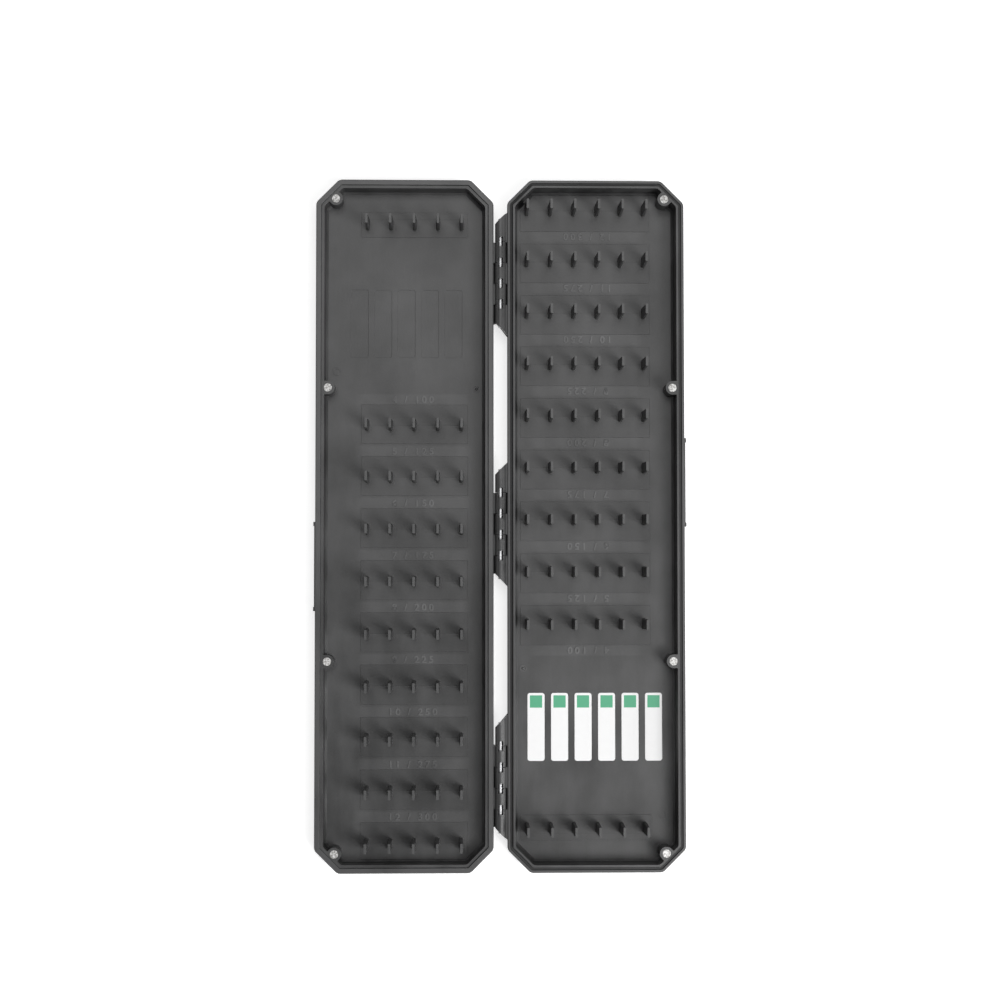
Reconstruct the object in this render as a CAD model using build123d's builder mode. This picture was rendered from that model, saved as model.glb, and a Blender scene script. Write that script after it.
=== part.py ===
"""Magnetic hooklength box, lying open flat.

Two shallow moulded trays are joined along their long sides by three pin hinges.
Each tray holds a row of pegs for the hooks and nine rows of pegs for the loops, 25 mm apart.
The lid's pegs stand half a pitch aside from the base's, so that they pass between each other
when the box is closed. Four magnets in each outer rim hold it shut.

The origin lies on the hinge line at the level of the resting faces. Y runs along the hinges,
Z is up, the base lies at +X and the lid at -X. All sizes are in millimetres.
"""

import os
from math import atan, degrees, floor, sqrt

from build123d import *

# Tray mouldings
TRAY_LENGTH = 330.0
TRAY_WIDTH = 84.8
TRAY_HEIGHT = 12.5
FLOOR_THICKNESS = 2.0
CORNER_CUT = 11.0
CORNER_BLEND = 3.5
FOOT_INSET = 0.6
FOOT_BEVEL = 1.4
RIM_BEVEL = 0.45
BASE_RIM = 3.8
LID_RIM = 3.95
FLOOR_INSET = 0.35
CAVITY_BLEND = 1.0
FLOOR_BEVEL = 1.0

# Closing tongue of the base, the groove outside it and its rebate in the lid
GROOVE_INSET = 1.25
GROOVE_BANK = 0.25
GROOVE_DEPTH = 0.7
TONGUE_ROOT = 2.5
TONGUE_TIP = 2.8
TONGUE_HEIGHT = 0.8
TONGUE_CLEARANCE = 0.1

# Hinges
AXIS_TO_WALL = 3.25
RIM_GAP = 0.1
END_HINGE_INSET = 45.0
BARREL_DIAMETER = 5.1
PIN_DIAMETER = 2.0
PIN_CLEARANCE = 0.05
KNUCKLE_PITCH = 10.0
KNUCKLE_GAP = 0.2
END_KNUCKLE = 8.6
WINDOW_LENGTH = 4.6
WINDOW_WIDTH = 2.4
ARM_DROP = 0.4
GUSSET_DEPTH = 6.2
WALL_BITE = 1.0

# Magnets and their bosses
MAGNET_DIAMETER = 4.0
MAGNET_LENGTH = 3.0
MAGNET_CLEARANCE = 0.04
MAGNET_RECESS = 0.15
BOSS_DIAMETER = 6.5
BOSS_REACH = 2.4
SIDE_MAGNET_INSET = 5.75
SIDE_MAGNET_SPACING = 130.4
CORNER_MAGNET_INSET = 9.4
CORNER_MAGNET_END_INSET = 9.0

# Pegs and the strips that carry them
PEG_HEIGHT = 18.5
PEG_ROOT = (1.9, 5.3)
PEG_TIP_INSET = 0.35
PEG_CORNER = 0.45
COLUMN_PITCH = 11.3
FIRST_COLUMN_INSET = 9.65
LAST_COLUMN_INSET = 16.0
ROW_PITCH = 25.0
HOOK_ROW_INSET = 20.0
HOOK_TO_LOOP_LENGTH = 97.3
LAST_ROW_INSET = 12.5
STRIP_THICKNESS = 0.9
STRIP_PROUD = 0.15
STRIP_CLEARANCE = 0.04
STRIP_MARGIN = 3.0
STRIP_NEAR = 10.1
STRIP_FAR = 8.7
HOOK_STRIP_DEPTH = 12.0

# Labels in the base and their empty places in the lid
LABEL_WIDTH = 8.2
LABEL_LENGTH = 32.5
LABEL_CORNER = 0.7
LABEL_THICKNESS = 0.25
LABEL_RECESS = 0.1
LABEL_CLEARANCE = 0.15
LABEL_SHIFT = 4.4
HOOK_TO_LABEL_LENGTH = 48.0
LID_PLACE_SHIFT = 3.9
LID_PLACE_DEPTH = 0.25

# Thumb tabs on the outer long sides
TAB_LENGTH = 42.4
TAB_START = -1.1
TAB_PROUD = 0.5
TAB_END_PROUD = 0.9
TAB_END_WIDTH = 2.0
TAB_HEIGHT = 7.0
TAB_BELOW_RIM = 1.0
TAB_BITE = 1.0

# Places worked out from the driving dimensions
BASE = 1
LID = -1
AXIS_HEIGHT = TRAY_HEIGHT + RIM_GAP / 2
TRAY_CENTRE = AXIS_TO_WALL + TRAY_WIDTH / 2
OUTER_SIDE = AXIS_TO_WALL + TRAY_WIDTH
GROOVE_FLOOR = TRAY_HEIGHT - GROOVE_DEPTH
REBATE_DEPTH = TONGUE_HEIGHT + TONGUE_CLEARANCE
REBATE_FLOOR = TRAY_HEIGHT - REBATE_DEPTH
TONGUE_TOP = TRAY_HEIGHT + TONGUE_HEIGHT
STRIP_FLOOR = FLOOR_THICKNESS + STRIP_PROUD - STRIP_THICKNESS
STRIP_TOP = FLOOR_THICKNESS + STRIP_PROUD
HALF_LENGTH = TRAY_LENGTH / 2
COLUMN_START = {
    BASE: AXIS_TO_WALL + FIRST_COLUMN_INSET,
    LID: AXIS_TO_WALL + FIRST_COLUMN_INSET + COLUMN_PITCH / 2,
}
LAST_COLUMN = OUTER_SIDE - LAST_COLUMN_INSET
COLUMNS = {
    side: floor((LAST_COLUMN - start) / COLUMN_PITCH) + 1 for side, start in COLUMN_START.items()
}
HOOK_ROW = HALF_LENGTH - HOOK_ROW_INSET
FIRST_ROW = HOOK_ROW - HOOK_TO_LOOP_LENGTH
LABEL_CENTRE = HOOK_ROW - HOOK_TO_LABEL_LENGTH
ROW_COUNT = floor((FIRST_ROW + HALF_LENGTH - LAST_ROW_INSET) / ROW_PITCH) + 1
RIMS = {BASE: BASE_RIM, LID: LID_RIM}
END_HINGE = HALF_LENGTH - END_HINGE_INSET
HINGE_CENTRES = (-END_HINGE, 0, END_HINGE)
KNUCKLE_SPLITS = [share * KNUCKLE_PITCH for share in (-1.5, -0.5, 0.5, 1.5)]
BARREL_HALF = 1.5 * KNUCKLE_PITCH + END_KNUCKLE
GUSSET_HALF = BARREL_HALF + BARREL_DIAMETER / 2 + AXIS_TO_WALL
PIN_HALF = BARREL_HALF + BARREL_DIAMETER / 2
WEB_TOP = AXIS_HEIGHT - BARREL_DIAMETER / 2 - KNUCKLE_GAP


def column_centre(side):
    """The place across the tray of the middle of its columns of pegs."""
    return side * (COLUMN_START[side] + (COLUMNS[side] - 1) * COLUMN_PITCH / 2)


def tray_plan(side, inset, blend):
    """The tray's plan, a given distance inside its rim."""
    cut = CORNER_CUT - inset * (2 - sqrt(2))
    with BuildSketch() as plan:
        with Locations((side * TRAY_CENTRE, 0)):
            Rectangle(TRAY_WIDTH - 2 * inset, TRAY_LENGTH - 2 * inset)
        chamfer(plan.vertices(), length=cut)
        fillet(plan.vertices(), radius=blend)
    return plan.sketch


def plan_block(side, low, low_inset, high, high_inset, blend):
    """A block with the tray's plan and drafted sides, from one height and inset to another."""
    draft = degrees(atan((high_inset - low_inset) / (high - low)))
    with BuildPart() as block:
        with BuildSketch(Plane.XY.offset(low)):
            add(tray_plan(side, low_inset, blend))
        extrude(amount=high - low, taper=draft)
    return block.part


def tray_body(side):
    """The tray's outside, with a bevelled foot and rim, still solid inside."""
    rim_start = TRAY_HEIGHT - RIM_BEVEL
    foot_inset = FOOT_INSET + FOOT_BEVEL
    with BuildPart() as body:
        add(plan_block(side, 0, foot_inset, FOOT_BEVEL, FOOT_INSET, CORNER_BLEND - foot_inset))
        add(plan_block(side, FOOT_BEVEL, FOOT_INSET, rim_start, 0, CORNER_BLEND - FOOT_INSET))
        add(plan_block(side, rim_start, 0, TRAY_HEIGHT, RIM_BEVEL, CORNER_BLEND))
    return body.part


def cavity(side, rim, top):
    """The hollow of the tray, with drafted walls and a bevel round its floor."""
    bevel_end = FLOOR_THICKNESS + FLOOR_BEVEL
    low_inset = rim + FLOOR_INSET
    floor_inset = low_inset + FLOOR_BEVEL
    top_inset = rim - FLOOR_INSET * (top - TRAY_HEIGHT) / (TRAY_HEIGHT - bevel_end)
    with BuildPart() as hollow:
        add(plan_block(side, FLOOR_THICKNESS, floor_inset, bevel_end, low_inset, CAVITY_BLEND))
        add(plan_block(side, bevel_end, low_inset, top, top_inset, CAVITY_BLEND + FLOOR_BEVEL))
    return hollow.part


def magnet_places(side):
    """Each magnet's place and the direction of the wall that its boss joins."""
    corner = (OUTER_SIDE - CORNER_MAGNET_INSET, HALF_LENGTH - CORNER_MAGNET_END_INSET)
    middle = (OUTER_SIDE - SIDE_MAGNET_INSET, SIDE_MAGNET_SPACING / 2)
    places = []
    for along in (1, -1):
        for (across, distance), lean in ((corner, 45 * along), (middle, 0)):
            angle = lean if side == BASE else 180 - lean
            places.append(Location((side * across, along * distance, 0), (0, 0, angle)))
    return places


def magnet_bosses(side, top):
    """Four D-shaped bosses that rise from the floor, lean on the wall and end at the tongue."""
    with BuildPart() as bosses:
        with BuildSketch(Plane.XY.offset(FLOOR_THICKNESS)):
            with Locations(magnet_places(side)):
                Circle(BOSS_DIAMETER / 2)
                with Locations((BOSS_REACH / 2, 0)):
                    Rectangle(BOSS_REACH, BOSS_DIAMETER)
            add(tray_plan(side, TONGUE_TIP, CAVITY_BLEND), mode=Mode.INTERSECT)
        extrude(amount=top - FLOOR_THICKNESS)
    return bosses.part


def magnet_pockets(side, top):
    """The round pockets that take the magnets."""
    depth = MAGNET_LENGTH + MAGNET_RECESS
    with BuildPart() as pockets:
        with BuildSketch(Plane.XY.offset(top - depth)):
            with Locations(magnet_places(side)):
                Circle(MAGNET_DIAMETER / 2 + MAGNET_CLEARANCE)
        extrude(amount=depth)
    return pockets.part


def arm_profile(side):
    """The hinge's cross-section: the barrel, its arm and the gusset under it."""
    wall = side * (AXIS_TO_WALL + WALL_BITE)
    radius = BARREL_DIAMETER / 2
    arm_top = AXIS_HEIGHT - ARM_DROP
    with Locations((0, AXIS_HEIGHT)):
        Circle(radius)
    Polygon(
        (0, arm_top),
        (wall, arm_top),
        (wall, AXIS_HEIGHT - radius - GUSSET_DEPTH),
        (side * AXIS_TO_WALL, AXIS_HEIGHT - radius - GUSSET_DEPTH),
        (0, AXIS_HEIGHT - radius),
        align=None,
    )


def bore_and_windows():
    """What the pin's bore and the windows over it take out of a hinge."""
    with BuildPart() as bore:
        with BuildSketch(Plane.XZ):
            with Locations((0, AXIS_HEIGHT)):
                Circle(PIN_DIAMETER / 2 + PIN_CLEARANCE)
        extrude(amount=GUSSET_HALF, both=True)
        with BuildSketch(Plane.XY.offset(AXIS_HEIGHT)):
            with Locations([(0, split) for split in KNUCKLE_SPLITS]):
                Rectangle(WINDOW_WIDTH, WINDOW_LENGTH)
        extrude(amount=BARREL_DIAMETER)
    return bore.part


def knuckle_gaps(centres, length):
    """The room that the other tray's knuckles need, down to the web that runs on under them."""
    with BuildPart() as gaps:
        with BuildSketch(Plane.XY.offset(WEB_TOP)):
            with Locations([(0, centre) for centre in centres]):
                Rectangle(2 * AXIS_TO_WALL, length + KNUCKLE_GAP)
        extrude(amount=2 * BARREL_DIAMETER)
    return gaps.part


def base_hinge():
    """The base's three knuckles on one gusset block, whose ends slant to the wall."""
    with BuildPart() as hinge:
        with BuildSketch(Plane.XZ):
            arm_profile(BASE)
        extrude(amount=GUSSET_HALF + WALL_BITE, both=True)
        far = -BARREL_DIAMETER / 2
        near = AXIS_TO_WALL + WALL_BITE
        with BuildSketch(Plane.XY):
            Polygon(
                (far, -BARREL_HALF),
                (near, -GUSSET_HALF - WALL_BITE),
                (near, GUSSET_HALF + WALL_BITE),
                (far, BARREL_HALF),
                align=None,
            )
        extrude(amount=2 * AXIS_HEIGHT, mode=Mode.INTERSECT)
        add(knuckle_gaps((-KNUCKLE_PITCH, KNUCKLE_PITCH), KNUCKLE_PITCH), mode=Mode.SUBTRACT)
        add(bore_and_windows(), mode=Mode.SUBTRACT)
    return hinge.part


def lid_hinge():
    """The lid's two knuckles, with a web that runs on under the base's middle and lower ones."""
    top = 1.5 * KNUCKLE_PITCH - KNUCKLE_GAP / 2
    length = top + BARREL_HALF
    end_knuckle = -(BARREL_HALF + 1.5 * KNUCKLE_PITCH) / 2
    with BuildPart() as hinge:
        with BuildSketch(Plane.XZ.offset(BARREL_HALF)):
            arm_profile(LID)
        extrude(amount=-length)
        add(knuckle_gaps((0,), KNUCKLE_PITCH), mode=Mode.SUBTRACT)
        add(knuckle_gaps((end_knuckle,), END_KNUCKLE), mode=Mode.SUBTRACT)
        add(bore_and_windows(), mode=Mode.SUBTRACT)
    return hinge.part


def thumb_tab(side):
    """A shallow pad with a rib at each end, on the outer wall just under the rim."""
    face = OUTER_SIDE - TAB_BITE
    middle = side * (TAB_START + TAB_LENGTH / 2)
    ends = (TAB_LENGTH - TAB_END_WIDTH) / 2
    with BuildPart() as tab:
        with BuildSketch(Plane.XY.offset(TRAY_HEIGHT - TAB_BELOW_RIM - TAB_HEIGHT)):
            with Locations((side * (face + (TAB_BITE + TAB_PROUD) / 2), middle)):
                Rectangle(TAB_BITE + TAB_PROUD, TAB_LENGTH)
            rib_depth = TAB_BITE + TAB_END_PROUD
            with Locations((side * (face + rib_depth / 2), middle)):
                with GridLocations(0, 2 * ends, 1, 2):
                    Rectangle(rib_depth, TAB_END_WIDTH)
        extrude(amount=TAB_HEIGHT)
        outer = tab.faces().sort_by(Axis.X)
        edges = (outer[-1] if side == BASE else outer[0]).edges()
        chamfer(edges.filter_by(Axis.Y), length=TAB_END_PROUD / 3)
    return tab.part


def strip_rows(side):
    """Each strip's name, its peg row and the depth of its plate on either side of that row."""
    toward = -side
    rows = [("hook_strip", toward * HOOK_ROW, HOOK_STRIP_DEPTH / 2, HOOK_STRIP_DEPTH / 2)]
    for index in range(ROW_COUNT):
        row = toward * (FIRST_ROW - index * ROW_PITCH)
        rows.append((f"peg_strip_{index + 1}", row, STRIP_FAR, STRIP_NEAR))
    return rows


def strip_plan(side, row, far_depth, near_depth, spread):
    """One strip's plan, kept within the flat of the tray's floor."""
    width = (COLUMNS[side] - 1) * COLUMN_PITCH + 2 * STRIP_MARGIN + 2 * spread
    middle = row - side * (near_depth - far_depth) / 2
    flat_inset = RIMS[side] + FLOOR_INSET + FLOOR_BEVEL + 2 * STRIP_CLEARANCE - spread
    with BuildSketch() as plan:
        with Locations((column_centre(side), middle)):
            Rectangle(width, far_depth + near_depth + 2 * spread)
        add(tray_plan(side, flat_inset, CAVITY_BLEND), mode=Mode.INTERSECT)
    return plan.sketch


def strip_pockets(side):
    """The shallow pockets in the tray's floor that seat the strips."""
    with BuildPart() as pockets:
        with BuildSketch(Plane.XY.offset(STRIP_FLOOR)):
            for _, row, far_depth, near_depth in strip_rows(side):
                add(strip_plan(side, row, far_depth, near_depth, STRIP_CLEARANCE))
        extrude(amount=STRIP_THICKNESS)
    return pockets.part


def label_places(side, shift):
    """The middles of the label places, one beside each column of pegs."""
    centre_x = column_centre(side) + side * shift
    centre_y = -side * LABEL_CENTRE
    first = centre_x - (COLUMNS[side] - 1) * COLUMN_PITCH / 2
    return [(first + index * COLUMN_PITCH, centre_y) for index in range(COLUMNS[side])]


def label_recesses(side, shift, depth):
    """Shallow recesses with cut corners where labels are stuck."""
    with BuildPart() as recesses:
        with BuildSketch(Plane.XY.offset(FLOOR_THICKNESS - depth)) as plan:
            with Locations(label_places(side, shift)):
                Rectangle(LABEL_WIDTH + 2 * LABEL_CLEARANCE, LABEL_LENGTH + 2 * LABEL_CLEARANCE)
            chamfer(plan.vertices(), length=LABEL_CORNER)
        extrude(amount=2 * depth)
    return recesses.part


def peg():
    """One tapered blade, standing on the strip's top face."""
    height = FLOOR_THICKNESS + PEG_HEIGHT - STRIP_TOP
    with BuildPart() as blade:
        with BuildSketch(Plane.XY.offset(STRIP_TOP)) as root:
            Rectangle(*PEG_ROOT)
            chamfer(root.vertices(), length=PEG_CORNER)
        extrude(amount=height, taper=degrees(atan(PEG_TIP_INSET / height)))
    return blade.part


os.makedirs("parts", exist_ok=True)

base_body = tray_body(BASE)
lid_body = tray_body(LID)
groove = plan_block(
    BASE,
    GROOVE_FLOOR,
    GROOVE_INSET + GROOVE_BANK,
    TRAY_HEIGHT,
    GROOVE_INSET,
    CORNER_BLEND - GROOVE_INSET - GROOVE_BANK,
)
tongue = plan_block(
    BASE, GROOVE_FLOOR, TONGUE_ROOT, TONGUE_TOP, TONGUE_TIP, CORNER_BLEND - TONGUE_ROOT
)
rebate = plan_block(
    LID,
    REBATE_FLOOR,
    TONGUE_TIP - TONGUE_CLEARANCE,
    TRAY_HEIGHT,
    TONGUE_ROOT - TONGUE_CLEARANCE,
    CORNER_BLEND - TONGUE_TIP,
)
base_hinge_block = base_hinge()
lid_hinge_block = lid_hinge()

# The base tray, with its groove, tongue, bosses, gussets and pockets
with BuildPart() as base_shell:
    add(base_body)
    add(groove, mode=Mode.SUBTRACT)
    add(tongue)
    add(cavity(BASE, BASE_RIM, TONGUE_TOP), mode=Mode.SUBTRACT)
    add(magnet_bosses(BASE, TONGUE_TOP))
    add(magnet_pockets(BASE, TONGUE_TOP), mode=Mode.SUBTRACT)
    add(strip_pockets(BASE), mode=Mode.SUBTRACT)
    add(label_recesses(BASE, LABEL_SHIFT, LABEL_RECESS), mode=Mode.SUBTRACT)
    add(thumb_tab(BASE))
    with Locations([(0, centre, 0) for centre in HINGE_CENTRES]):
        add(base_hinge_block)
base_shell.part.label = "base_shell"
export_step(base_shell.part, "parts/base_shell.step")

# The lid tray, with its rebate, bosses, arms and pockets
with BuildPart() as lid_shell:
    add(lid_body)
    add(rebate, mode=Mode.SUBTRACT)
    add(cavity(LID, LID_RIM, TRAY_HEIGHT), mode=Mode.SUBTRACT)
    add(magnet_bosses(LID, REBATE_FLOOR))
    add(magnet_pockets(LID, REBATE_FLOOR), mode=Mode.SUBTRACT)
    add(strip_pockets(LID), mode=Mode.SUBTRACT)
    add(label_recesses(LID, LID_PLACE_SHIFT, LID_PLACE_DEPTH), mode=Mode.SUBTRACT)
    add(thumb_tab(LID))
    with Locations([(0, centre, 0) for centre in HINGE_CENTRES]):
        add(lid_hinge_block)
lid_shell.part.label = "lid_shell"
export_step(lid_shell.part, "parts/lid_shell.step")

# The peg strips of both trays
peg_blade = peg()
for side, tray in ((BASE, "base"), (LID, "lid")):
    for name, row, far_depth, near_depth in strip_rows(side):
        with BuildPart() as strip:
            with BuildSketch(Plane.XY.offset(STRIP_FLOOR)):
                add(strip_plan(side, row, far_depth, near_depth, 0))
            extrude(amount=STRIP_THICKNESS)
            with Locations((column_centre(side), row, 0)):
                with GridLocations(COLUMN_PITCH, 0, COLUMNS[side], 1):
                    add(peg_blade)
        strip.part.label = f"{tray}_{name}"
        export_step(strip.part, f"parts/{tray}_{name}.step")

# The three hinge pins
for name, centre in zip(("bottom", "middle", "top"), HINGE_CENTRES):
    with BuildPart() as hinge_pin:
        with BuildSketch(Plane.XZ.offset(-centre)):
            with Locations((0, AXIS_HEIGHT)):
                Circle(PIN_DIAMETER / 2)
        extrude(amount=PIN_HALF, both=True)
    hinge_pin.part.label = f"hinge_pin_{name}"
    export_step(hinge_pin.part, f"parts/hinge_pin_{name}.step")

# The eight magnets, seated on the bottoms of their pockets
MAGNET_NAMES = ("top_corner", "top_side", "bottom_corner", "bottom_side")
for side, tray, boss_top in ((BASE, "base", TONGUE_TOP), (LID, "lid", REBATE_FLOOR)):
    for name, place in zip(MAGNET_NAMES, magnet_places(side)):
        with BuildPart() as magnet:
            with BuildSketch(Plane.XY.offset(boss_top - MAGNET_RECESS - MAGNET_LENGTH)):
                with Locations(place):
                    Circle(MAGNET_DIAMETER / 2)
            extrude(amount=MAGNET_LENGTH)
        magnet.part.label = f"{tray}_magnet_{name}"
        export_step(magnet.part, f"parts/{tray}_magnet_{name}.step")

# The six labels, stuck in the base
for index, place in enumerate(label_places(BASE, LABEL_SHIFT)):
    with BuildPart() as label:
        with BuildSketch(Plane.XY.offset(FLOOR_THICKNESS - LABEL_RECESS)) as plan:
            with Locations(place):
                Rectangle(LABEL_WIDTH, LABEL_LENGTH)
            chamfer(plan.vertices(), length=LABEL_CORNER)
        extrude(amount=LABEL_THICKNESS)
    label.part.label = f"label_{index + 1}"
    export_step(label.part, f"parts/label_{index + 1}.step")
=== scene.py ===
"""Open hooklength box in dark grey plastic, lying on a pale studio floor.

The trays, peg strips, pins and magnets come from the frame and get their finishes here.
Writing labels with round corners stand in for the frame's plain ones. The raised numbers between
the rows of pegs and the marks that the mould left in the floors are added.
"""
from math import pi, radians

import bpy
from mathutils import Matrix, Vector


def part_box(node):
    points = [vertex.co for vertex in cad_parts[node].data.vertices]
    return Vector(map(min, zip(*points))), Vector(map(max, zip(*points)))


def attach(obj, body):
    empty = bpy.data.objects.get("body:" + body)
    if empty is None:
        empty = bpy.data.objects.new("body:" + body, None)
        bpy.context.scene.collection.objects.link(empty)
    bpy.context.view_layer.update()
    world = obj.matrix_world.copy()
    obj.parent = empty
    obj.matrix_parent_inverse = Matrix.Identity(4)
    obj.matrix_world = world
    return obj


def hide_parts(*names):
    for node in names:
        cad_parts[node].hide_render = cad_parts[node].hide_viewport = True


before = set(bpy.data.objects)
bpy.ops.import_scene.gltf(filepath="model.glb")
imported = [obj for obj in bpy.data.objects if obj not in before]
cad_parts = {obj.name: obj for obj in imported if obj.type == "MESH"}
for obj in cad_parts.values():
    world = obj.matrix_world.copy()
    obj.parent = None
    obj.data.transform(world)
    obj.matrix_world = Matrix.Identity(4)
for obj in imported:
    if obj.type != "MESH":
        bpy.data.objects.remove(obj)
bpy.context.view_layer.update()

MM = 0.001

# Heights on the open trays, in millimetres
FLOOR_TOP = 2.0
HINGE_WEB_TOP = 9.8
RIM_TOP = 12.5
PEG_TOP = 20.5

# Rows of pegs and the numbers between them, in millimetres
FIRST_ROW = 47.7
ROW_PITCH = 25.0
ROW_COUNT = 9
NUMBER_STEP = 12.5
NUMBER_SIZE = 4.6
LID_NUMBER_X = -41.8
BASE_NUMBER_X = 42.5

# Lighter bands on the floors between the rows, in millimetres
BAND_FROM_ROW = 9.2
BAND_MIDDLE = 42.0
BAND_HALF_WIDTH = 23.0
BAND_END = 63.0

# How far the painted shade under the hinges reaches on either side of their line, in millimetres
HINGE_SHADE_REACH = 3.4

# Writing labels, in millimetres
LABEL_FIRST = 17.3
LABEL_PITCH = 11.3
LABEL_END = -80.75
LABEL_WIDTH = 8.2
LABEL_CORNER = 1.2
PATCH_INSET = 1.15

# Body, x and y of the marks that the mould left in the floors, in millimetres
EJECTOR_MARKS = (("lid", -11.3, 65.5), ("base", 11.05, -69.0))
MOULD_PADS = (("lid", -78.6, 73.5), ("base", 77.8, -139.0))

# Linear levels of the plastic's darkest and lightest patches, and of the shade painted into its
# sheltered places
DARK_PLASTIC = 0.029
LIGHT_PLASTIC = 0.072
PAINTED_SHADE_PLASTIC = 0.008

# The studio, in metres
STUDIO_RADIUS = 4.0
BACKDROP_HEIGHT = 2.0
BACKDROP_SWEEP = 1.5


class Value:
    """A shader socket whose arithmetic adds Math nodes."""

    def __init__(self, finish, socket):
        self.finish = finish
        self.socket = socket

    def __add__(self, other):
        return self.finish.maths("ADD", self, other)

    def __radd__(self, other):
        return self.finish.maths("ADD", other, self)

    def __sub__(self, other):
        return self.finish.maths("SUBTRACT", self, other)

    def __rsub__(self, other):
        return self.finish.maths("SUBTRACT", other, self)

    def __mul__(self, other):
        return self.finish.maths("MULTIPLY", self, other)

    def __rmul__(self, other):
        return self.finish.maths("MULTIPLY", other, self)

    def __truediv__(self, other):
        return self.finish.maths("DIVIDE", self, other)

    def __abs__(self):
        return self.finish.maths("ABSOLUTE", self)


class Finish:
    """A material, its main shader, and the one way to add a node to it."""

    def __init__(self, name):
        self.material = bpy.data.materials.new(name)
        self.material.use_nodes = True
        self.tree = self.material.node_tree
        self.shader = self.tree.nodes["Principled BSDF"]
        self.place = self.node("ShaderNodeTexCoord", {}, {}, "Object")
        axes = self.node("ShaderNodeSeparateXYZ", {}, {"Vector": self.place}).socket.node.outputs
        self.x, self.y, self.z = (Value(self, axes[axis]) / MM for axis in "XYZ")

    def feed(self, socket, value):
        """Links a value to a socket, or writes a plain number or colour into it."""
        if isinstance(value, Value):
            self.tree.links.new(value.socket, socket)
        else:
            socket.default_value = value

    def node(self, kind, settings, inputs, output=0):
        """Adds a node with its settings first and its inputs next, and gives an output."""
        made = self.tree.nodes.new(kind)
        for name, value in settings.items():
            setattr(made, name, value)
        for name, value in inputs.items():
            self.feed(made.inputs[name], value)
        return Value(self, made.outputs[output])

    def maths(self, operation, *values):
        """A Math node on one, two or three values."""
        return self.node("ShaderNodeMath", {"operation": operation}, dict(enumerate(values)))

    def ramp(self, value, low, high):
        """Rises smoothly from 0 to 1 as the value goes from low to high."""
        return self.node(
            "ShaderNodeMapRange",
            {"interpolation_type": "SMOOTHSTEP"},
            {"Value": value, "From Min": low, "From Max": high},
        )

    def noise(self, size, detail=2.0, stretch=(1, 1, 1)):
        """Noise from 0 to 1 whose blotches are about the given size in millimetres."""
        place = self.node("ShaderNodeMapping", {}, {"Vector": self.place, "Scale": stretch})
        return self.node(
            "ShaderNodeTexNoise", {}, {"Vector": place, "Scale": 1 / (size * MM), "Detail": detail}
        )

    def mix(self, share, first, second):
        """Two colours, mixed by a share from 0 to 1."""
        return self.node(
            "ShaderNodeMix", {"data_type": "RGBA"}, {"Factor": share, "A": first, "B": second}, "Result"
        )

    def soft_edges(self, radius):
        """The normal with edges rounded by a radius in millimetres."""
        return self.node("ShaderNodeBevel", {"samples": 6}, {"Radius": radius * MM})

    def edge_mask(self, reach):
        """Near 1 on a surface beside its edges and 0 away from them; the reach is in millimetres."""
        true_normal = self.node("ShaderNodeNewGeometry", {}, {}, "Normal")
        sameness = self.node(
            "ShaderNodeVectorMath",
            {"operation": "DOT_PRODUCT"},
            {0: self.soft_edges(reach), 1: true_normal},
            "Value",
        )
        return 1 - self.ramp(sameness, 0.75, 0.98)

    def bump(self, height, depth, **more):
        """A bumped normal; the height runs from 0 to 1 and the depth is in millimetres."""
        inputs = {"Height": height, "Strength": 1.0, "Distance": depth * MM}
        inputs.update(more)
        return self.node("ShaderNodeBump", {}, inputs)

    def wear(self, **inputs):
        """Feeds the main shader's sockets, named with underscores for spaces."""
        for name, value in inputs.items():
            self.feed(self.shader.inputs[name.replace("_", " ")], value)
        return self.material


def grey(level):
    """A neutral colour from a level that is already linear."""
    return (level, level, level * 1.01, 1.0)


def plastic_mottle(finish):
    """The tone, smears and grain of moulded plastic; the tone varies less on the backs."""
    cloud = finish.noise(30, 3.0)
    smear = finish.noise(9, 4.0, (1.0, 0.25, 1.0))
    grain = finish.noise(0.55, 2.0)
    inside = 0.2 + 0.8 * finish.ramp(finish.z, 0.3, FLOOR_TOP - 0.2)
    tone = 0.43 + inside * (2.0 * (cloud - 0.5) + 1.3 * (smear - 0.5)) + 0.3 * (grain - 0.5)
    return tone, smear, grain


def painted_hinge_shade(finish):
    """Painted shade: 1 near the hinge line from the web downwards, so that the slits over the web look
    dark.
    """
    beside_axis = 1 - finish.ramp(abs(finish.x), HINGE_SHADE_REACH, HINGE_SHADE_REACH + 0.3)
    return beside_axis * (1 - finish.ramp(finish.z, HINGE_WEB_TOP + 0.05, HINGE_WEB_TOP + 0.4))


def dress_plastic(finish, tone, smear, texture, painted_shade, brightness=1.0):
    """Gives satin plastic its colour, gloss and texture, with painted shade, dark and dull, where it is
    sheltered.
    """
    colour = finish.mix(tone, grey(DARK_PLASTIC * brightness), grey(LIGHT_PLASTIC * brightness))
    return finish.wear(
        Base_Color=finish.mix(painted_shade, colour, grey(PAINTED_SHADE_PLASTIC)),
        Roughness=0.32 + 0.14 * smear + 0.35 * painted_shade,
        Normal=texture,
        Specular_IOR_Level=0.5,
    )


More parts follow.
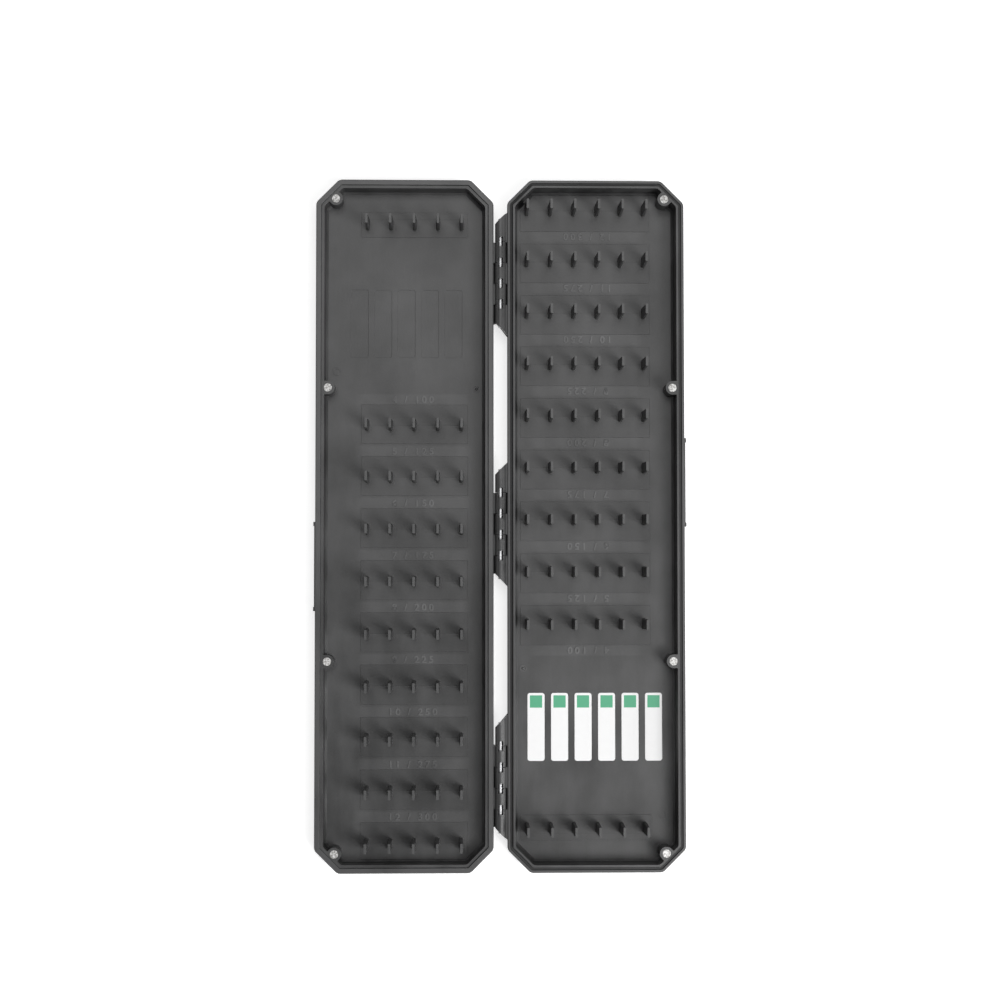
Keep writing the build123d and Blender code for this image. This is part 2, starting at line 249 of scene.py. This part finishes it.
def shell_plastic(name, side, groove_shade=0.0):
    """A tray, with lighter bands on its floor between the rows, painted light on its rim, and edges
    lighter from wear and painted light.

    The side is 1 for the base and -1 for the lid. The groove shade is how dark the shade painted into
    the rim's groove is.
    """
    finish = Finish(name)
    tone, smear, grain = plastic_mottle(finish)
    # Painted light: surfaces at the rim's height are made lighter than the floor, and less so those
    # that stand above the rim
    painted_rim_light = finish.ramp(finish.z, RIM_TOP - 0.5, RIM_TOP - 0.1)
    tongue = finish.ramp(finish.z, RIM_TOP + 0.2, RIM_TOP + 0.5)
    tone = tone + 0.55 * painted_rim_light - 0.4 * tongue
    along = finish.y * -side
    off_row = finish.maths("PINGPONG", along - FIRST_ROW, ROW_PITCH / 2)
    off_middle = abs(finish.x * side - BAND_MIDDLE)
    band = finish.ramp(off_row, BAND_FROM_ROW, BAND_FROM_ROW + 1.2)
    band = band * (1 - finish.ramp(along, BAND_END, BAND_END + 2.0))
    band = band * (1 - finish.ramp(off_middle, BAND_HALF_WIDTH, BAND_HALF_WIDTH + 6.0))
    above_back = finish.ramp(finish.z, FLOOR_TOP - 0.8, FLOOR_TOP - 0.2)
    floor_top = above_back * (1 - finish.ramp(finish.z, FLOOR_TOP + 0.2, FLOOR_TOP + 0.6))
    # Lighter floor bands, and edges made lighter: wear, and painted light that softens the dark lines
    # at the edges of the pockets
    tone = tone + 0.34 * band * floor_top + 0.25 * finish.edge_mask(0.3)
    # Painted shade under the hinges, so that the slits over the web look dark
    painted_shade = painted_hinge_shade(finish)
    # Painted shade in the groove below the base's rim
    if groove_shade:
        below_rim = finish.ramp(finish.z, RIM_TOP - 0.95, RIM_TOP - 0.75)
        below_rim = below_rim * (1 - finish.ramp(finish.z, RIM_TOP - 0.5, RIM_TOP - 0.2))
        painted_shade = finish.maths("MAXIMUM", painted_shade, groove_shade * below_rim)
    texture = finish.bump(grain, 0.02, Normal=finish.soft_edges(0.12))
    return dress_plastic(finish, tone, smear, texture, painted_shade)


def strip_plastic(name, first_row):
    """A peg strip, with a mould line through the pegs' roots, edges lighter from wear and painted
    light, and a painted highlight on the peg tips.
    """
    finish = Finish(name)
    tone, smear, grain = plastic_mottle(finish)
    off_row = finish.maths("PINGPONG", finish.y - first_row, ROW_PITCH / 2)
    line = 1 - finish.ramp(off_row, 0.05, 0.35)
    # Edges lighter: wear, and painted light, stronger low down, that fills the shade of the gap round
    # the strip
    wear_and_painted_light = 0.75 - 0.3 * finish.ramp(finish.z, FLOOR_TOP + 0.4, FLOOR_TOP + 1.0)
    tone = tone - 0.15 * line + wear_and_painted_light * finish.edge_mask(0.3)
    # Painted highlight on the peg tips
    tone = tone + 0.6 * finish.ramp(finish.z, PEG_TOP - 1.5, PEG_TOP - 0.2)
    texture = finish.bump(grain, 0.02, Normal=finish.soft_edges(0.08))
    texture = finish.bump(1 - line, 0.02, Normal=texture)
    # Painted shade under the hinges, as on the trays
    return dress_plastic(finish, tone, smear, texture, painted_hinge_shade(finish), brightness=0.94)


def raised_plastic(name, brightness):
    """The small raised forms on the floors, made lighter than the floors round them: a painted
    highlight for the light that their raised faces catch.
    """
    finish = Finish(name)
    tone, smear, grain = plastic_mottle(finish)
    texture = finish.bump(grain, 0.02, Normal=finish.soft_edges(0.08))
    # Painted shade under the hinges, as on the trays
    return dress_plastic(finish, tone, smear, texture, painted_hinge_shade(finish), brightness)


def pin_steel():
    """Bright drawn wire with fine lines along it."""
    finish = Finish("bright drawn wire")
    lines = finish.noise(0.25, 3.0, (1.0, 0.03, 1.0))
    colour = finish.mix(lines, (0.62, 0.62, 0.63, 1), (0.86, 0.86, 0.87, 1))
    return finish.wear(
        Base_Color=colour, Metallic=1.0, Roughness=0.42 + 0.2 * lines, Normal=finish.bump(lines, 0.01)
    )


def magnet_nickel():
    """Mottled nickel plate with soft edges."""
    finish = Finish("bright nickel plate")
    marks = finish.noise(0.8, 4.0)
    colour = finish.mix(finish.ramp(marks, 0.35, 0.65), (0.26, 0.25, 0.24, 1), (0.72, 0.72, 0.71, 1))
    texture = finish.bump(marks, 0.02, Normal=finish.soft_edges(0.35))
    return finish.wear(Base_Color=colour, Metallic=1.0, Roughness=0.45 + 0.25 * marks, Normal=texture)


def label_film():
    """White writing film with a plain teal patch near one end."""
    finish = Finish("white writing film")
    across = finish.maths("WRAP", finish.x - LABEL_FIRST, LABEL_PITCH / 2, -LABEL_PITCH / 2)
    down = LABEL_END - finish.y
    half = LABEL_WIDTH / 2 - PATCH_INSET
    far_edge = PATCH_INSET + 2 * half
    patch = 1 - finish.ramp(abs(across), half - 0.05, half + 0.05)
    patch = patch * finish.ramp(down, PATCH_INSET - 0.05, PATCH_INSET + 0.05)
    patch = patch * (1 - finish.ramp(down, far_edge - 0.05, far_edge + 0.05))
    speck = finish.noise(2.5, 3.0)
    film = finish.mix(speck, (0.94, 0.94, 0.94, 1), (0.98, 0.98, 0.98, 1))
    colour = finish.mix(patch, film, (0.09, 0.43, 0.24, 1))
    return finish.wear(Base_Color=colour, Roughness=0.32 + 0.1 * speck, Normal=finish.bump(speck, 0.01))


# Finishes, and the pieces of the frame that get them
shell_finish = {
    "lid": shell_plastic("lid tray plastic", side=-1),
    # The base's rim groove gets painted shade
    "base": shell_plastic("base tray plastic", side=1, groove_shade=0.65),
}
strip_finish = {
    "lid": strip_plastic("lid peg strip plastic", FIRST_ROW),
    "base": strip_plastic("base peg strip plastic", -FIRST_ROW),
}
# Painted highlight: the raised numbers and ejector marks are lighter than the trays' plastic
number_finish = raised_plastic("raised number plastic", 2.0)
mark_finish = raised_plastic("ejector mark plastic", 1.6)
pin_finish = pin_steel()
magnet_finish = magnet_nickel()
label_finish = label_film()


def finish_of(name):
    """The finish of a node of the frame, by its name."""
    if "magnet" in name:
        return magnet_finish
    if "pin" in name:
        return pin_finish
    if "label" in name:
        return label_finish
    body = name.split("_")[0]
    return strip_finish[body] if "strip" in name else shell_finish[body]


for name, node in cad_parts.items():
    node.data.materials.clear()
    node.data.materials.append(finish_of(name))


def deselect():
    """Leaves nothing selected, because an operator acts on all that is."""
    if bpy.context.object and bpy.context.object.mode != "OBJECT":
        bpy.ops.object.mode_set(mode="OBJECT")
    bpy.ops.object.select_all(action="DESELECT")


def settle(piece, name, finish, body):
    """Puts a piece's place into its mesh, gives it its finish and lets it ride on its body."""
    deselect()
    piece.select_set(True)
    bpy.context.view_layer.objects.active = piece
    bpy.ops.object.transform_apply(location=True, rotation=True, scale=True)
    piece.name = name
    piece.data.name = name
    piece.data.materials.clear()
    piece.data.materials.append(finish)
    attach(piece, body)


def pick_faces(piece, wanted):
    """Selects the faces whose normal passes a test, and leaves the piece in edit mode."""
    bpy.ops.object.mode_set(mode="EDIT")
    bpy.ops.mesh.select_mode(type="FACE")
    bpy.ops.mesh.select_all(action="DESELECT")
    bpy.ops.object.mode_set(mode="OBJECT")
    for face in piece.data.polygons:
        face.select = wanted(face.normal)
    bpy.ops.object.mode_set(mode="EDIT")


def copy_of(first, place):
    """A copy of a piece with its own mesh, moved to a place."""
    deselect()
    first.select_set(True)
    bpy.context.view_layer.objects.active = first
    bpy.ops.object.duplicate(linked=False)
    piece = bpy.context.object
    piece.location = place
    return piece


def writing_label(width, length, thickness):
    """A label with round corners and a soft upper edge, its underside's middle at the origin."""
    deselect()
    bpy.ops.mesh.primitive_plane_add(size=1)
    piece = bpy.context.object
    piece.scale = (width, length, 1)
    bpy.ops.object.transform_apply(location=False, rotation=False, scale=True)
    bpy.ops.object.mode_set(mode="EDIT")
    bpy.ops.mesh.select_all(action="SELECT")
    bpy.ops.mesh.bevel(offset=LABEL_CORNER * MM, segments=8, affect="VERTICES")
    bpy.ops.mesh.extrude_region_move(TRANSFORM_OT_translate={"value": (0, 0, thickness)})
    bpy.ops.mesh.normals_make_consistent(inside=False)
    pick_faces(piece, lambda normal: normal.z > 0.9)
    bpy.ops.mesh.bevel(offset=0.06 * MM, segments=2, affect="EDGES")
    bpy.ops.object.mode_set(mode="OBJECT")
    return piece


label_nodes = [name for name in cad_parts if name.startswith("label_")]
low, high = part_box(label_nodes[0])
first_label = writing_label(high.x - low.x, high.y - low.y, high.z - low.z)
for node in label_nodes:
    low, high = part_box(node)
    label = copy_of(first_label, ((low.x + high.x) / 2, (low.y + high.y) / 2, low.z))
    settle(label, "writing_" + node, label_finish, "base")
    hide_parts(node)
bpy.data.objects.remove(first_label)


def raised_number(text, name, x, y, turn, body):
    """Numbers raised from the tray floor."""
    deselect()
    bpy.ops.object.text_add(location=(x * MM, y * MM, (FLOOR_TOP + 0.1) * MM), rotation=(0, 0, turn))
    letters = bpy.context.object.data
    letters.body = text
    letters.align_x = "CENTER"
    letters.align_y = "CENTER"
    letters.size = NUMBER_SIZE * MM
    letters.space_character = 1.5
    letters.extrude = 0.12 * MM
    letters.bevel_depth = 0.06 * MM
    letters.offset = 0.13 * MM
    bpy.ops.object.convert(target="MESH")
    settle(bpy.context.object, name, number_finish, body)


for index in range(ROW_COUNT):
    row = FIRST_ROW - index * ROW_PITCH + NUMBER_STEP
    text = f"{index + 4} / {100 + 25 * index}"
    raised_number(text, f"lid_number_{index + 1}", LID_NUMBER_X, row, 0, "lid")
    raised_number(text, f"base_number_{index + 1}", BASE_NUMBER_X, -row, pi, "base")


def stepped_disc(vertices, radius, depth, steps):
    """A round pad whose top steps inwards; each step is a thickness and a rise in millimetres."""
    deselect()
    bpy.ops.mesh.primitive_cylinder_add(vertices=vertices, radius=radius * MM, depth=depth * MM)
    piece = bpy.context.object
    pick_faces(piece, lambda normal: normal.z > 0.9)
    for thickness, rise in steps:
        bpy.ops.mesh.inset(thickness=thickness * MM, depth=rise * MM)
    bpy.ops.object.mode_set(mode="OBJECT")
    return piece


# Ejector marks: a rim, a groove and a pip in the middle
first_mark = stepped_disc(32, 1.7, 0.3, ((0.35, 0), (0.15, -0.18), (0.45, 0), (0.3, 0.4), (0.2, 0.1)))
for body, x, y in EJECTOR_MARKS:
    mark = copy_of(first_mark, (x * MM, y * MM, (FLOOR_TOP + 0.05) * MM))
    settle(mark, body + "_ejector_mark", mark_finish, body)
bpy.data.objects.remove(first_mark)

# Mould pads: wide, hardly proud of the floor, with a fine groove
first_pad = stepped_disc(40, 2.3, 0.2, ((0.6, 0), (0.15, -0.06), (0.15, 0.06)))
for body, x, y in MOULD_PADS:
    pad = copy_of(first_pad, (x * MM, y * MM, (FLOOR_TOP - 0.02) * MM))
    settle(pad, body + "_mould_pad", shell_finish[body], body)
bpy.data.objects.remove(first_pad)

# The pale floor, which sweeps up into a backdrop all round
deselect()
bpy.ops.mesh.primitive_cylinder_add(
    vertices=96, radius=STUDIO_RADIUS, depth=BACKDROP_HEIGHT, location=(0, 0, BACKDROP_HEIGHT / 2)
)
floor = bpy.context.object
floor.name = "studio_floor"
pick_faces(floor, lambda normal: normal.z > 0.9)
bpy.ops.mesh.delete(type="FACE")
pick_faces(floor, lambda normal: normal.z < -0.9)
bpy.ops.mesh.bevel(offset=BACKDROP_SWEEP, segments=16, affect="EDGES")
pick_faces(floor, lambda normal: normal.z < -0.9999)
bpy.ops.mesh.inset(thickness=0.3, depth=0)
bpy.ops.mesh.select_all(action="SELECT")
bpy.ops.mesh.flip_normals()
bpy.ops.object.mode_set(mode="OBJECT")
bpy.ops.object.shade_smooth()

# Paper whose glow shows only to camera, glossy and transmission rays
paper = Finish("white studio floor")
rays = paper.node("ShaderNodeLightPath", {}, {}).socket.node.outputs
camera_ray, glossy_ray, transmission_ray = (
    Value(paper, rays[f"Is {kind} Ray"]) for kind in ("Camera", "Glossy", "Transmission")
)
seen = paper.maths("MAXIMUM", camera_ray, glossy_ray)
seen = paper.maths("MAXIMUM", seen, transmission_ray)
glow = paper.mix(seen, (0, 0, 0, 1), (0.68, 0.68, 0.68, 1))
paper.wear(Base_Color=(0.8, 0.8, 0.8, 1), Roughness=0.9, Emission_Color=glow, Emission_Strength=1.0)
floor.data.materials.append(paper.material)

# Soft studio light
world = bpy.data.worlds.new("studio")
bpy.context.scene.world = world
world.use_nodes = True
background = world.node_tree.nodes["Background"]
background.inputs["Color"].default_value = (1, 1, 1, 1)
background.inputs["Strength"].default_value = 0.1


def lamp(name, place, size, power):
    """A square soft lamp turned towards the middle of the box; metres and watts."""
    deselect()
    bpy.ops.object.light_add(type="AREA", location=place)
    light = bpy.context.object
    light.name = name
    light.data.size = size
    light.data.energy = power
    light.rotation_euler = light.location.to_track_quat("Z", "Y").to_euler()


lamp("key", (0.8, -0.55, 1.25), size=0.6, power=13.0)
lamp("front", (0.5, -0.4, 1.4), size=0.6, power=3.2)
lamp("overhead", (0.0, 0.45, 1.6), size=0.9, power=7.5)
lamp("right_fill", (1.5, -0.5, 0.5), size=0.7, power=9.0)

# The camera, nearly straight above the box as in the photograph
deselect()
bpy.ops.object.camera_add(location=(-0.0234, -0.0245, 0.9))
camera = bpy.context.object
camera.rotation_mode = "ZYX"
camera.rotation_euler = (radians(2.322), radians(-1.495), radians(0.039))
camera.data.sensor_width = 36
camera.data.lens = 67.18
camera.data.clip_start = 0.05
bpy.context.scene.camera = camera
bpy.context.scene.view_settings.view_transform = "Standard"
